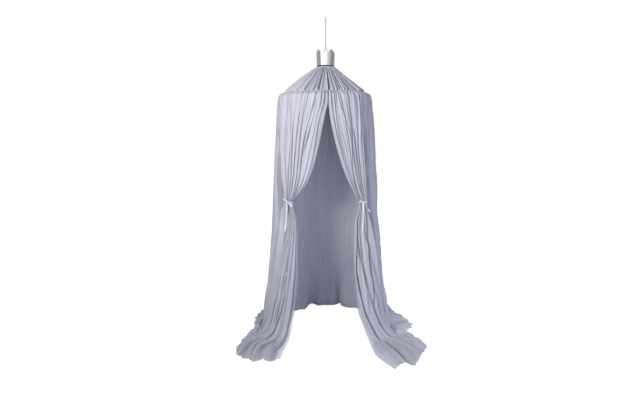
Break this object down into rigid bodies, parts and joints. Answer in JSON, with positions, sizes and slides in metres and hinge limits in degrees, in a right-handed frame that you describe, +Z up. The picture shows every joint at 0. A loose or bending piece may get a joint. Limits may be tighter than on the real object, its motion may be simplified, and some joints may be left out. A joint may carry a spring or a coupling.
{
  "type": "bed crown canopy",
  "caption": "Hanging bed canopy: a small silver crown over a pleated cloth cone and hoop, with a gathered floor-length drop and two tied-back front curtains.",
  "frame": {"origin": "where the hanging ring rests on its hook, on the canopy's own axis", "axes": "+Z up along the cord, -Y towards the opening between the front curtains, +X to the right seen from the front"},
  "size_m": [1.1522, 1.0229, 1.982],
  "materials": {
    "cord": "twisted cotton cord",
    "steel": "plain wire",
    "silver": "polished silver",
    "dark_band": "dark edging",
    "board": "plain white sheet",
    "voile": "sheer grey-lilac voile",
    "satin": "white satin ribbon"
  },
  "bodies": {
    "hanging_point": {"hanging_ring": "steel", "cord_eye": "cord"},
    "crown_unit": {"hanging_cord": "cord", "bridle_knot": "cord", "bridle_leg_1": "cord", "bridle_leg_2": "cord", "bridle_leg_3": "cord", "crown_eyelet_1": "steel", "crown_eyelet_2": "steel", "crown_eyelet_3": "steel", "crown": "silver", "crown_base_ring": "dark_band", "top_disc": "board", "cone_skirt": "voile"},
    "drop_unit": {"hoop": "steel", "hoop_ferrule": "steel", "rim_tape": "voile", "front_left_curtain": "voile", "front_right_curtain": "voile", "side_left_curtain": "voile", "side_right_curtain": "voile", "back_curtain": "voile", "tie_band_left": "satin", "bow_knot_left": "satin", "bow_loop_left_1": "satin", "bow_loop_left_2": "satin", "ribbon_end_left_1": "satin", "ribbon_end_left_2": "satin", "tie_band_right": "satin", "bow_knot_right": "satin", "bow_loop_right_1": "satin", "bow_loop_right_2": "satin", "ribbon_end_right_1": "satin", "ribbon_end_right_2": "satin"}
  },
  "joints": [
    {"name": "canopy_turn", "type": "hinge", "parent": "hanging_point", "child": "crown_unit", "pos_m": [0, 0, -0.027], "axis": [0, 0, 1], "range_deg": [-180, 180]},
    {"name": "hoop_lift", "type": "slide", "parent": "crown_unit", "child": "drop_unit", "axis": [0, 0, 1], "range_m": [0, 0.14], "deforming": ["cone_skirt"]}
  ]
}
